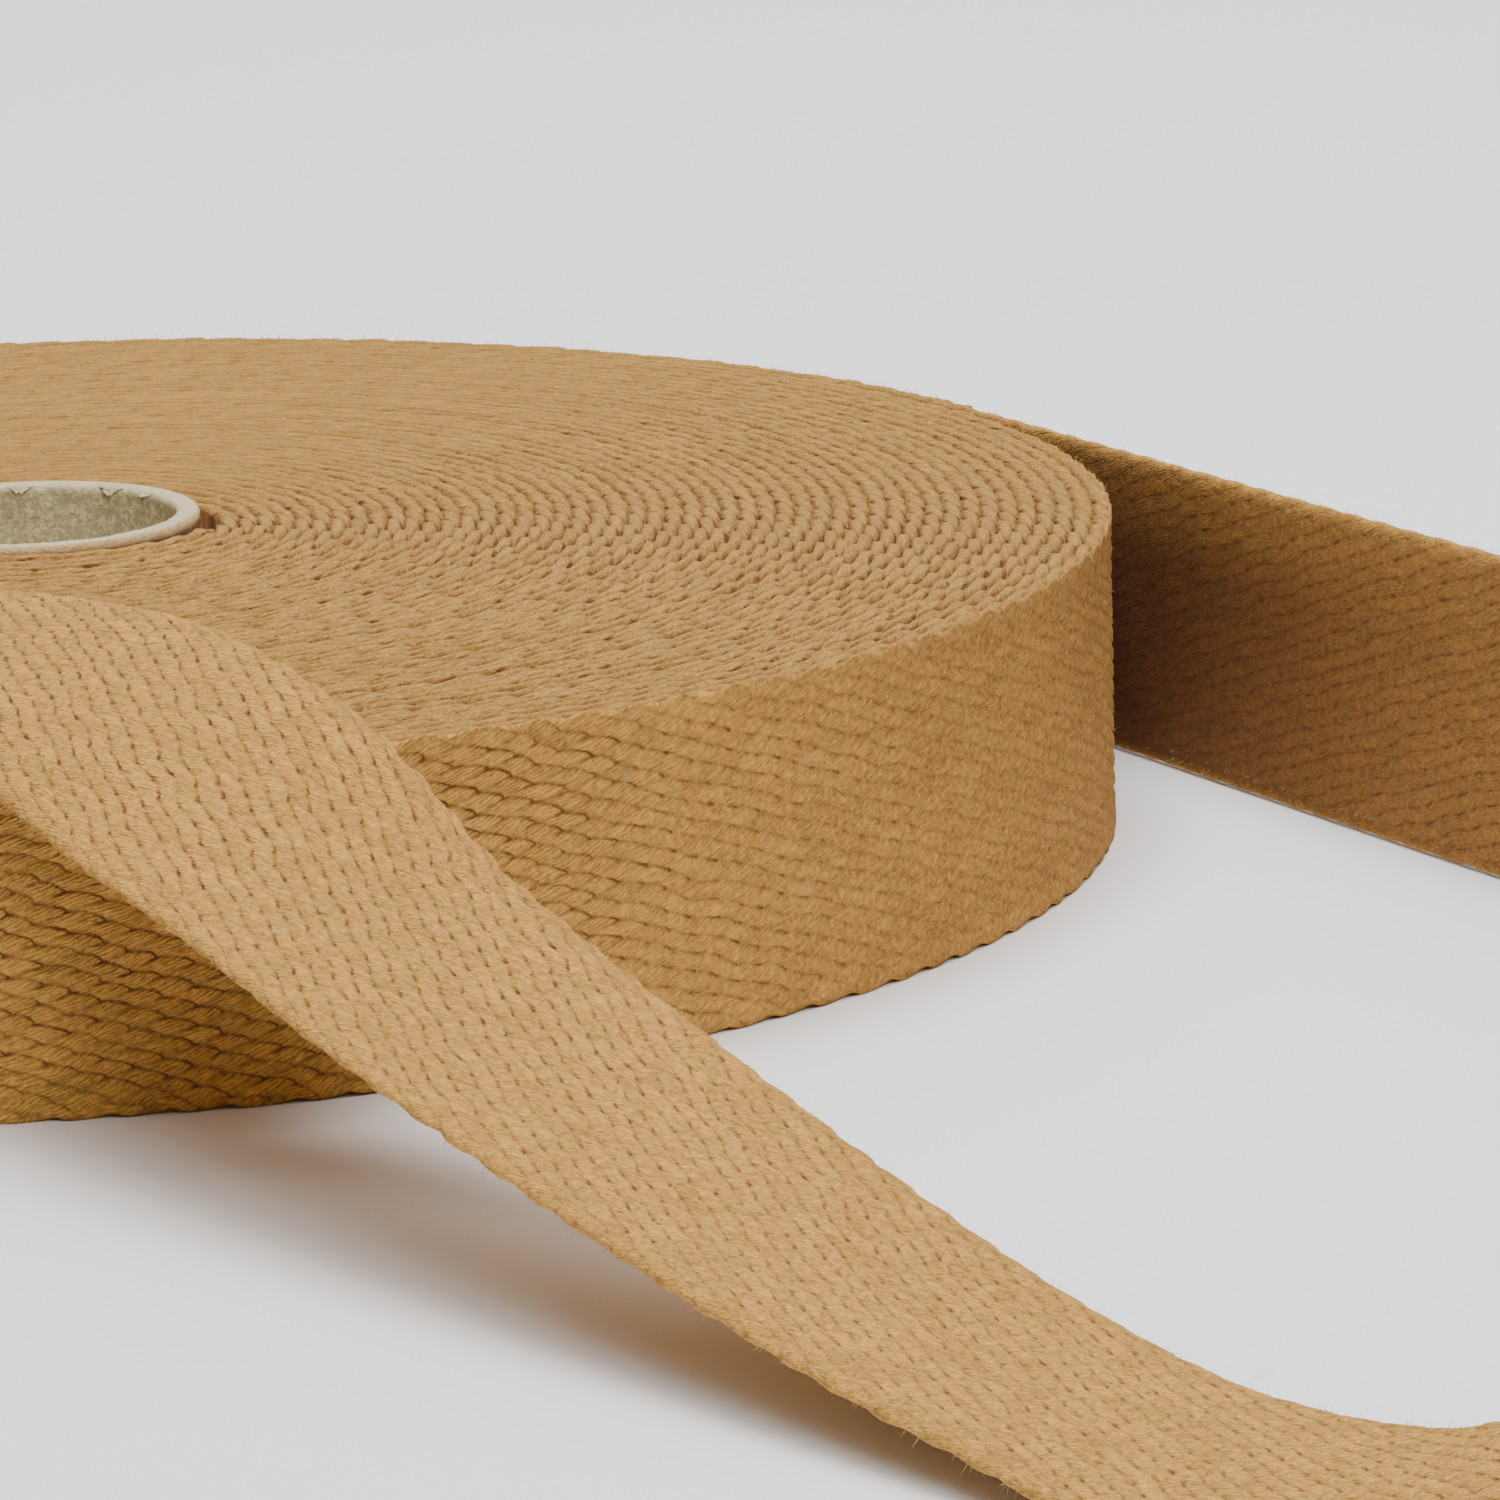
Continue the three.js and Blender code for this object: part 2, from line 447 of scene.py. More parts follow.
def build_loose_end(axis):
    """The loose end: the floats' relief all round, and selvedges that taper and scallop."""
    along, middle, across, outward = loose_end_frames(LOOSE_STEP)
    place, height, out_place, out_height, arc, face = (column[None, :] for column in web_section().T)
    s = along[:, None]
    draw_in = SELVEDGE_SCALLOP * np.where(place > 0, scallop(s, 0.0), scallop(s, 0.5))
    draw_in = draw_in * (SLIGHT_SCALLOP + (1 - SLIGHT_SCALLOP) * smooth_step(s, *SCALLOPS_GROW))
    reach = smooth_step(np.abs(arc), SELVEDGE_FROM, WEB_WIDTH / 2)
    weave_along, weave_across = weave_place(s, arc)
    relief = float_relief(weave_along, weave_across, loose_wear(s))
    drop = FLOAT_RELIEF * (1 - relief) * (1 - 0.5 * reach)
    a = place - out_place * drop - np.sign(place) * draw_in * reach
    h = height - out_height * drop
    points = middle[:, None, :] + across[:, None, :] * a[..., None] + outward[:, None, :] * h[..., None]
    shape = points.shape[:2]
    attributes = spread(
        shape,
        along=weave_along,
        across=weave_across,
        face=face,
        selvedge=reach,
        worn=loose_wear(s),
        shade=pocket_shade(s, arc, face),
    )
    quads = capped_quads(*shape, True)
    piece = new_mesh_object("loose_web", points.reshape(-1, 3) + axis, quads, attributes)
    ways = across[:, None, :] * out_place[..., None] + outward[:, None, :] * out_height[..., None]
    on_selvedge = np.abs(arc[0]) > SELVEDGE_FUZZ_FROM
    return piece, along[-1], (points + axis, ways), on_selvedge, face[0] > 0.9


# The wound turns

def turn_radius(turns_in):
    """Outside radius of the web, a number of turns in from where it leaves the roll."""
    inner_face = CORE_RADIUS + INNER_TURN_GAP + WEB_THICKNESS
    outer = ROLL_RADIUS - LAST_TURN_FALL
    pitch = (outer - inner_face) / (TURNS - 1)
    radius = np.where(turns_in < 1, ROLL_RADIUS - LAST_TURN_FALL * turns_in, outer - pitch * (turns_in - 1))
    # The first turns lie tight on the core and step up over the web's inner end
    from_start = TURNS - turns_in
    share = from_start - np.floor(from_start)
    step_up = smooth_step(share, *STEP_UP_SHARE)
    tightness = np.exp(-from_start / TIGHT_TURNS)
    return radius + pitch * tightness * (step_up - share)


def turn_places(turns_from, turns_to, step):
    """Places along the wound web at even steps: turns in, radius, angle, and length from where it leaves."""
    fine = np.linspace(0, TURNS, 60001)
    radius = turn_radius(fine) - WEB_THICKNESS / 2
    run = np.concatenate([[0], np.cumsum((radius[1:] + radius[:-1]) / 2 * np.diff(fine) * TAU)])
    start, stop = np.interp([turns_from, turns_to], fine, run)
    length = np.linspace(start, stop, round((stop - start) / step) + 1)
    turns_in = np.interp(length, run, fine)
    return turns_in, turn_radius(turns_in), LEAVES_AT + turns_in * TAU, -length


def edge_knuckles(along, turns_in, off_middle, corner=1.0):
    """How far a turn's edge falls below its highest, for a place along it and off its middle."""
    turn = np.floor(turns_in)
    phase = along / REPEAT_LONG - off_middle / EDGE_WRAP + EDGE_PHASE
    knuckle = np.round(phase)
    hollow = 1 - (0.5 + 0.5 * np.cos(TAU * phase)) ** 0.75
    chance = uneven(knuckle + 7 * turn)
    side = (np.abs(off_middle) / (WEB_THICKNESS / 2)) ** 2.4
    dent = EDGE_DENT * hollow * (0.4 + 0.6 * chance) * (0.45 + 0.55 * side)
    rounding = side * (EDGE_ROUNDING + DENT_ROUNDING * hollow)
    lean = KNUCKLE_LEAN * off_middle * np.sin(knuckle * 4.7)
    slow = 0.08 * np.sin(turn * 4.8) + 0.06 * np.sin(along / 31.0)
    return corner * (dent + rounding) + lean - slow


def rise_at_core(turns_in, angle):
    """How far the innermost turns stand up round the core, more in front and sunk on the right."""
    near = np.exp(-(TURNS - turns_in) / CORE_RISE_TURNS)
    return near * (CORE_RISE + CORE_RISE_TILT * np.cos(angle - CORE_RISE_AT))


def turn_wear(angle):
    """How soft the turns look for a place round the roll: most on the far side."""
    return FAR_WEAR * smooth_step(np.sin(angle), *FAR_SIDE)


def build_turns(name, turns_from, turns_to, axis):
    """A stretch of the wound web as a spiral band: knuckled top, plain walls, and a coarser underside."""
    turns_in, radius, angle, length = turn_places(turns_from, turns_to, TURN_STEP)
    turn = turns_in[:, None]
    azimuth = angle[:, None]
    along = (length + along_drift.at(length, WEB_WIDTH / 2))[:, None]
    worn = turn_wear(azimuth)
    half = WEB_THICKNESS / 2 * TURN_OVERLAP
    top = np.linspace(half, -half, TURN_TOP_POINTS)
    bottom = np.linspace(-half, half, TURN_BOTTOM_POINTS)
    off = np.concatenate([top, bottom])[None, :]
    is_top = np.arange(off.size)[None, :] < top.size
    calm = 1 - CALM_AT_CORE * np.exp(-(TURNS - turn) / CALM_TURNS)
    fall = edge_knuckles(along, turn, off) * (1 - 0.45 * worn) * calm
    fall = fall - is_top * rise_at_core(turn, azimuth)
    fall = fall + INNER_END_SINK * is_top * (1 - smooth_step(TURNS - turn, 0.0, INNER_END_SHARE))
    z = np.where(is_top, WEB_WIDTH - EDGE_LEVEL - fall, EDGE_LEVEL + np.maximum(fall, -EDGE_LEVEL))
    r = radius[:, None] - WEB_THICKNESS / 2 + off
    points = np.stack([r * np.cos(azimuth), r * np.sin(azimuth), z], -1)
    attributes = spread(z.shape, along=along, off=off, turn=turn, worn=worn)
    quads = capped_quads(*z.shape, True)
    piece = new_mesh_object(name, points.reshape(-1, 3) + axis, quads, attributes)
    ways = np.zeros(points.shape)
    ways[..., 2] = np.where(is_top, 1.0, -1.0)
    return piece, (points + axis, ways), is_top[0]


def last_turn_section():
    """Section of the last turn as a loop: place across, off its middle, and whether it is on a selvedge."""
    half = WEB_THICKNESS / 2
    face = np.linspace(EDGE_CORNER, -EDGE_CORNER, round(2 * EDGE_CORNER / FACE_STEP) + 1)
    edge = np.linspace(half, -half, LAST_TURN_EDGE_POINTS)
    points = [(a, half, 0.0) for a in face]
    points += [(-EDGE_CORNER, off, 1.0) for off in edge[1:]]
    points += [(EDGE_CORNER, off, 1.0) for off in edge[::-1][:-1]]
    return even_loop(points)


def build_last_turn(axis):
    """The outermost turn: the weave's relief on its outer face, and knuckled selvedges like the others."""
    turns_in, radius, angle, length = turn_places(0.0, 1.0, LAST_TURN_STEP)
    place, off, on_edge = (column[None, :] for column in last_turn_section().T)
    on_edge = on_edge > 0
    s = length[:, None]
    turn = turns_in[:, None]
    azimuth = angle[:, None]
    edge_along = s + along_drift.at(s, WEB_WIDTH / 2)
    fall = edge_knuckles(edge_along, turn, off, np.where(off > 0, 0.7, 1.0))
    corner = WEB_WIDTH / 2 - EDGE_LEVEL - fall
    reach = smooth_step(np.abs(place), SELVEDGE_FROM, EDGE_CORNER)
    a = np.where(on_edge, np.sign(place) * corner, place + np.sign(place) * reach * (corner - EDGE_CORNER))
    a = np.clip(a, -WEB_WIDTH / 2, WEB_WIDTH / 2)
    weave_along, weave_across = weave_place(s, place)
    side_wear_and_shade = smooth_step(azimuth - TAU, SIDE_WEAR_FROM, SIDE_WEAR_TO)
    relief = float_relief(weave_along, weave_across, SIDE_WEAR * side_wear_and_shade)
    drop = FLOAT_RELIEF * (1 - relief) * (1 - reach) * ~on_edge
    r = radius[:, None] - WEB_THICKNESS / 2 + off - drop
    points = np.stack([r * np.cos(azimuth), r * np.sin(azimuth), WEB_WIDTH / 2 + a], -1)
    attributes = spread(
        a.shape,
        along=np.where(on_edge, edge_along, weave_along),
        across=weave_across,
        face=1.0,
        selvedge=reach,
        off=off,
        turn=turn,
        worn=np.where(on_edge, turn_wear(azimuth), SIDE_WEAR * side_wear_and_shade),
        # Painted shade, growing with the wear on the side
        shade=1 - SIDE_SHADE * side_wear_and_shade,
    )
    quads = capped_quads(*a.shape, False)
    piece = new_mesh_object("last_turn", points.reshape(-1, 3) + axis, quads, attributes)
    # The second material covers the quads whose corners all lie on a selvedge
    edge_quad = np.all(np.broadcast_to(on_edge, a.shape).reshape(-1)[quads], axis=1)
    piece.data.polygons.foreach_set("material_index", edge_quad.astype(np.int32))
    outward = np.stack([np.cos(azimuth), np.sin(azimuth), 0 * azimuth], -1)
    upward = np.array([0, 0, 1.0]) * np.sign(place)[..., None]
    ways = np.where(on_edge[..., None], upward, outward)
    return piece, (points + axis, ways), on_edge[0] & (place[0] > 0)


# The core

# A ring of the tube: its radius, its height, how torn it is, and which of the board's looks it has
OUTER_WALL, RIM, INNER_WALL = range(3)
Ring = namedtuple("Ring", "radius height torn look")


def core_profile():
    """The tube's rings: up its outer wall, over the cut rim, and down its bore."""
    outer = CORE_RADIUS
    inner = CORE_BORE / 2
    top = CORE_HEIGHT
    outer_wall = [Ring(outer, height, 0, OUTER_WALL) for height in (0.5, 10, 25, 36, top - 0.6)]
    inner_wall = [Ring(inner, height, 0, INNER_WALL) for height in (36, 28, 18, 8, 0.5)]
    return outer_wall + [
        Ring(outer - 0.15, top - 0.25, 0, OUTER_WALL),
        Ring(outer - 0.5, top, 0, RIM),
        Ring(outer - 1.1, top + 0.05, 0, RIM),
        Ring(outer - 1.7, top, 0.1, RIM),
        Ring(inner + 0.6, top - 0.02, 0.5, RIM),
        Ring(inner + 0.15, top - 0.15, 1.0, RIM),
        Ring(inner - 0.12, top - 0.5, 1.2, RIM),
        Ring(inner - 0.08, top - 1.1, 0.7, INNER_WALL),
        Ring(inner, top - 1.8, 0.1, INNER_WALL),
    ] + inner_wall + [
        Ring(inner + 0.5, 0, 0, INNER_WALL),
        Ring(outer - 0.5, 0, 0, INNER_WALL),
    ]


def build_core(axis, rng):
    """The tube: smooth outer wall, a pale cut rim, and a torn inner lip."""
    angle = np.linspace(0, TAU, CORE_STEPS, endpoint=False)
    ragged = sum(rng.normal() / k * np.cos(k * angle + rng.uniform(0, 6.28)) for k in range(3, 60))
    tear = np.clip(0.30 * ragged, -0.25, 0.9)
    profile = core_profile()
    rings = []
    for ring in profile:
        r = ring.radius - ring.torn * 0.45 * tear
        z = ring.height - ring.torn * 0.9 * np.abs(tear)
        rings.append(np.stack([r * np.cos(angle), r * np.sin(angle), z + 0 * angle], -1))
    points = np.stack(rings)
    rows, columns = points.shape[:2]
    quads = np.vstack([grid_quads(rows, columns), close_rows(rows, columns)])
    part = np.repeat([ring.look for ring in profile], columns)
    return new_mesh_object("core_tube", points.reshape(-1, 3) + axis, quads, {"part": part})


def build_lip_flakes(axis, rng):
    """Torn paper that hangs from the inner lip: small curled flaps, each a closed thin grid."""
    rows, columns = 9, 12
    vertices = []
    quads = []
    for flake in LIP_FLAKES:
        start = len(vertices) * rows * columns
        share = np.linspace(0, 1, rows)[:, None]
        half = np.linspace(-1, 1, columns // 2)
        side = np.concatenate([half, half[::-1]])[None, :]
        layer = np.where(np.arange(columns) < columns // 2, 1.0, -1.0)[None, :]
        ragged = 1 + 0.30 * np.sin(side * rng.uniform(5, 9) + rng.uniform(0, TAU)) - 0.55 * side ** 2
        angle = math.radians(flake.at) + side * (1 - 0.55 * share) * flake.width / CORE_BORE
        inward = 0.10 + share ** 1.5 * rng.uniform(0.3, 0.9) + 0.15 * np.sin(4 * side + 5 * share)
        r = CORE_BORE / 2 - np.maximum(inward, 0.1) * share ** 0.5 + 0.06 * layer + 0.1
        z = CORE_HEIGHT - 0.22 - share * flake.drop * ragged
        vertices.append(np.stack([r * np.cos(angle), r * np.sin(angle), z], -1).reshape(-1, 3))
        quads.append(start + capped_quads(rows, columns, True))
    vertices = np.concatenate(vertices)
    part = np.full(len(vertices), RIM)
    return new_mesh_object("core_flakes", vertices + axis, np.concatenate(quads), {"part": part})


# Fibres that stand off the web

# A kind of fibre: its width and shortest and longest length, how many segments it has, and how much it curls.
# Lint's lengths are shares of its tuft's size.
Fibre = namedtuple("Fibre", "width shortest longest segments curl")
FUZZ = Fibre(0.034, 0.5, 1.5, 2, 1.4)
HAIR = Fibre(0.028, 2.0, 5.5, 7, 2.2)
LINT_FIBRE = Fibre(0.04, 0.5, 1.4, 4, 3.2)
END_THREAD = Fibre(0.16, 0.5, 1.9, 3, 0.9)
LINT_FIBRES = 24
END_THREADS = 110

# How deep a fibre's root sits in the web, its share of width left by its tip, and its least gap to the floor
ROOT_DEPTH = 0.12
TIP_SHARE = 0.3
FLOOR_GAP = 0.02


def unit(vectors):
    return vectors / np.linalg.norm(vectors, axis=-1, keepdims=True)


def fibre_faces(segments):
    """Triangles of one fibre: a three-cornered foot, its walls, and a tip."""
    faces = [(0, 2, 1)]
    tip = 3 * segments
    for corner in range(3):
        after = (corner + 1) % 3
        for low in range(0, tip - 3, 3):
            faces.append((low + corner, low + after, low + 3 + after))
            faces.append((low + corner, low + 3 + after, low + 3 + corner))
        faces.append((tip - 3 + corner, tip - 3 + after, tip))
    return np.array(faces)


def build_fibres(name, roots, ways, lengths, kind, rng):
    """Thin fibres, each a three-sided spike of a few segments that curls its own way."""
    count = len(roots)
    way = unit(ways)
    bend = rng.normal(0, kind.curl, (count, 3))
    side = unit(np.cross(way, rng.normal(0, 1, (count, 3))))
    other = np.cross(way, side)
    place = roots - way * ROOT_DEPTH
    rings = []
    for k in range(kind.segments):
        thick = kind.width * (1 - (1 - TIP_SHARE) * k / kind.segments)
        for corner in range(3):
            angle = TAU * corner / 3
            rings.append(place + thick * (side * math.cos(angle) + other * math.sin(angle)))
        place = place + way * (lengths / kind.segments)[:, None]
        way = unit(way + bend / kind.segments)
    vertices = np.stack(rings + [place], axis=1)
    # A fibre that would reach into the floor is lifted onto it
    vertices[..., 2] += np.maximum(FLOOR_GAP - vertices[..., 2].min(axis=1), 0)[:, None]
    first = np.arange(count)[:, None, None] * vertices.shape[1]
    triangles = (first + fibre_faces(kind.segments)[None, :, :]).reshape(-1, 3)
    return new_mesh_object(name, vertices.reshape(-1, 3), triangles, smooth=False)


def stand(ways, rng):
    """Directions that lean a little off the way out."""
    return unit(ways + rng.normal(0, 0.5, ways.shape))


def lie(ways, rng):
    """Directions almost flat on the surface."""
    turned = rng.normal(0, 1, ways.shape)
    turned -= ways * np.sum(turned * ways, axis=1)[:, None]
    return unit(turned) + ways * rng.uniform(0.15, 0.65, (len(ways), 1))


def pick_roots(surface, columns, count, rng):
    """Random places on the chosen columns of a grid of points, with the way out at each."""
    points, ways = surface
    row = rng.integers(0, points.shape[0], count)
    column = rng.choice(np.flatnonzero(columns), count)
    return points[row, column], np.broadcast_to(ways, points.shape)[row, column]


# A row of a planting plan: a surface, the columns of it that are planted, how many fibres, and how they lie
Patch = namedtuple("Patch", "surface columns count lay")


def plant_fibres(name, plan, kind, rng):
    """Fibres of one kind on the patches of a plan."""
    roots = []
    ways = []
    for patch in plan:
        root, way = pick_roots(patch.surface, patch.columns, patch.count, rng)
        roots.append(root)
        ways.append(patch.lay(way, rng))
    roots = np.concatenate(roots)
    lengths = rng.uniform(kind.shortest, kind.longest, len(roots))
    return build_fibres(name, roots, np.concatenate(ways), lengths, kind, rng)


# A spot that holds a fleck of lint: its place from the roll's axis, the way out, and the fleck's size
Spot = namedtuple("Spot", "place way size")


def on_top(radius, azimuth, size):
    """A spot on the roll's top face."""
    angle = math.radians(azimuth)
    place = np.array([radius * math.cos(angle), radius * math.sin(angle), WEB_WIDTH - 0.15])
    return Spot(place, np.array([0, 0, 1.0]), size)


def on_side(azimuth, height, size):
    """A spot on the roll's side."""
    angle = math.radians(azimuth)
    way = np.array([math.cos(angle), math.sin(angle), 0])
    turns_in = (math.degrees(LEAVES_AT) - azimuth) / 360
    radius = ROLL_RADIUS - LAST_TURN_FALL * (1 - turns_in)
    return Spot(way * (radius - 0.1) + np.array([0, 0, height]), way, size)


def on_loose(along, across, size):
    """A spot on the loose end's upper face."""
    stations, middle, side, outward = loose_end_frames(1.0)
    k = int(np.argmin(np.abs(stations - along)))
    place = middle[k] + side[k] * across + outward[k] * (WEB_THICKNESS / 2 - 0.1)
    return Spot(place, outward[k], size)


def build_lint(spots, axis, rng):
    """Pale flecks of lint, each a small tuft of curled fibres on a spot of the web."""
    roots = np.repeat([spot.place + axis for spot in spots], LINT_FIBRES, axis=0)
    ways = np.repeat([spot.way for spot in spots], LINT_FIBRES, axis=0)
    sizes = np.repeat([spot.size for spot in spots], LINT_FIBRES)
    tangent = rng.normal(0, 0.30, roots.shape)
    tangent -= ways * np.sum(tangent * ways, axis=1)[:, None]
    roots = roots + tangent * sizes[:, None]
    lengths = sizes * rng.uniform(LINT_FIBRE.shortest, LINT_FIBRE.longest, len(roots))
    return build_fibres("lint", roots, lie(ways, rng), lengths, LINT_FIBRE, rng)


def build_end_threads(points, rng):
    """Cut ends of the warp yarns, which stand out of the web's cut end."""
    end, before = points[-1], points[-4]
    picked = rng.integers(0, len(end), END_THREADS)
    other = rng.integers(0, len(end), END_THREADS)
    mixed = rng.uniform(0, 1, (END_THREADS, 1))
    roots = end[picked] * mixed + end[other] * (1 - mixed)
    ahead = unit((end - before).mean(axis=0))
    ways = ahead + rng.normal(0, 0.25, (END_THREADS, 3))
    lengths = rng.uniform(END_THREAD.shortest, END_THREAD.longest, END_THREADS)
    return build_fibres("end_threads", roots, ways, lengths, END_THREAD, rng)


# Shader graphs

def maths_method(operation, swapped=False):
    """A method that joins a term and another value by one maths node."""
    def method(term, other):
        values = (other, term) if swapped else (term, other)
        return term.graph.math(operation, *values)
    return method


class Term:
    """A socket that can be added, multiplied and so on, each making a maths node."""

    __add__ = maths_method("ADD")
    __radd__ = maths_method("ADD", swapped=True)
    __sub__ = maths_method("SUBTRACT")
    __rsub__ = maths_method("SUBTRACT", swapped=True)
    __mul__ = maths_method("MULTIPLY")
    __rmul__ = maths_method("MULTIPLY", swapped=True)
    __truediv__ = maths_method("DIVIDE")

    def __init__(self, graph, socket):
        self.graph = graph
        self.socket = socket


class Graph:
    """A material's node tree, with short ways to add its nodes."""

    def __init__(self, name):
        self.material = bpy.data.materials.new(name)
        self.material.use_nodes = True
        self.tree = self.material.node_tree
        self.shader = self.tree.nodes["Principled BSDF"]

    def link(self, value, socket):
        """Gives a socket a term or a plain value."""
        if isinstance(value, Term):
            self.tree.links.new(value.socket, socket)
        else:
            socket.default_value = value

    def node(self, kind, inputs, output, **settings):
        """A term that is one output of a new node, with values for its inputs by name or number."""
        node = self.tree.nodes.new("ShaderNode" + kind)
        for name, setting in settings.items():
            setattr(node, name, setting)
        for key, value in inputs.items():
            self.link(value, node.inputs[key])
        return Term(self, node.outputs[output])

    def math(self, operation, *values):
        return self.node("Math", dict(enumerate(values)), 0, operation=operation)

    def wave(self, value):
        """Distance from the nearest whole number."""
        return self.math("PINGPONG", value, 0.5)

    def attribute(self, name):
        return self.node("Attribute", {}, "Fac", attribute_name=name)

    def ramp(self, value, low, high, to_low=0.0, to_high=1.0):
        """A smooth step from one value to another."""
        inputs = {"Value": value, "From Min": low, "From Max": high, "To Min": to_low, "To Max": to_high}
        return self.node("MapRange", inputs, "Result", interpolation_type="SMOOTHSTEP")

    def point(self, x, y, z=0.0):
        return self.node("CombineXYZ", {"X": x, "Y": y, "Z": z}, 0)

    def shade(self, colour, value):
        """The colour made brighter or darker by a factor."""
        return self.node("VectorMath", {0: colour, "Scale": value}, 0, operation="SCALE")

    def position(self):
        """Place on the object in millimetres."""
        return self.shade(self.node("TexCoord", {}, "Object"), 1 / MM)

    def height(self):
        """Height over the floor in millimetres."""
        return self.node("SeparateXYZ", {0: self.position()}, "Z")

    def noise(self, vector, scale, detail=3.0, roughness=0.55):
        """Noise round 0, about -0.5 to 0.5."""
        inputs = {"Vector": vector, "Scale": scale, "Detail": detail, "Roughness": roughness}
        return self.node("TexNoise", inputs, "Fac") - 0.5

    def random(self, vector):
        """A random number from 0 to 1 for each cell."""
        return self.node("TexWhiteNoise", {"Vector": vector}, "Value")

    def fibres(self, along, across, slope, layer):
        """Pale fibres that lie at a slope on the web, from 0 to 1."""
        run = self.point(along * 0.55, (across + along * slope) * 3.0, layer)
        return self.ramp(self.noise(run, 1.0, 2.0, 0.5), 0.06, 0.20)

    def mix(self, factor, low, high):
        """A blend of two colours. The colour sockets go by number, since others share their names."""
        return self.node("Mix", {0: factor, 6: low, 7: high}, 2, data_type="RGBA")

    def bump(self, height_mm):
        inputs = {"Strength": 1.0, "Distance": MM, "Height": height_mm}
        self.link(self.node("Bump", inputs, 0), self.shader.inputs["Normal"])

    def finish(self, colour, roughness, sheen, sheen_tint):
        """The finished material, matt and with a soft sheen."""
        inputs = {
            "Base Color": colour,
            "Roughness": roughness,
            "Sheen Weight": sheen,
            "Sheen Tint": sheen_tint,
            "Sheen Roughness": 0.6,
            "Specular IOR Level": 0.15,
        }
        for name, value in inputs.items():
            self.link(value, self.shader.inputs[name])
        return self.material


COTTON_RED = (0.58, 0.288, 0.068, 1)
COTTON_YELLOW = (0.56, 0.304, 0.068, 1)
COTTON_CREASE_SHADE = (0.15, 0.052, 0.013, 1)
COTTON_SHADE = (0.085, 0.021, 0.006, 1)
EDGE_RED = (0.44, 0.224, 0.056, 1)
EDGE_YELLOW = (0.43, 0.240, 0.056, 1)
EDGE_CREASE_SHADE = (0.15, 0.055, 0.015, 1)
FIBRE_PALE = (0.64, 0.41, 0.15, 1)
FIBRE_TINT = (0.95, 0.62, 0.33, 1)


def cotton_tint(g, place, red, yellow):
    """Undyed cotton, which shifts a little between a redder and a yellower tan."""
    blotch = g.noise(place, 0.35, 3.0, 0.6)
    return g.mix(g.ramp(blotch, -0.16, 0.16), red, yellow)


